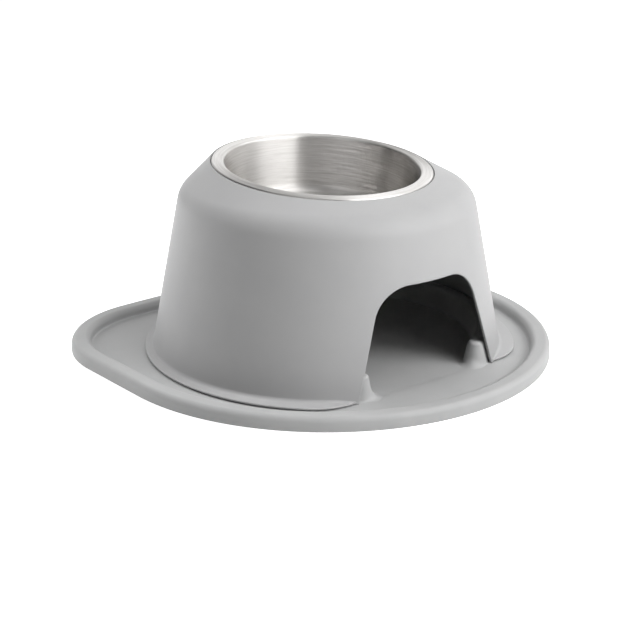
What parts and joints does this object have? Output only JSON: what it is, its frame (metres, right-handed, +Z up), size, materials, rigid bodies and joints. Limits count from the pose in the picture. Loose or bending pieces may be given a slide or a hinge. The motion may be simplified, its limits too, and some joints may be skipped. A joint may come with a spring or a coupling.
{
  "type": "raised pet bowl",
  "caption": "Round steel bowl with a flat rim, held slightly leaning in a tapered hollow stand with an arch, on a wide spill mat.",
  "frame": {"origin": "on the floor, under the mat, on the axis of the stand", "axes": "+Z up, -Y to the front, where the arch is and where the rim of the bowl is lowest, +X to the right seen from the front"},
  "size_m": [0.4428, 0.4092, 0.1856],
  "materials": {
    "mat_rubber": "fine matte texture, grey",
    "stand_plastic": "fine matte texture, grey",
    "bowl_steel": "brushed round the bowl, rim brighter"
  },
  "bodies": {
    "root": {"mat": "mat_rubber", "stand": "stand_plastic", "bowl": "bowl_steel"}
  },
  "joints": []
}
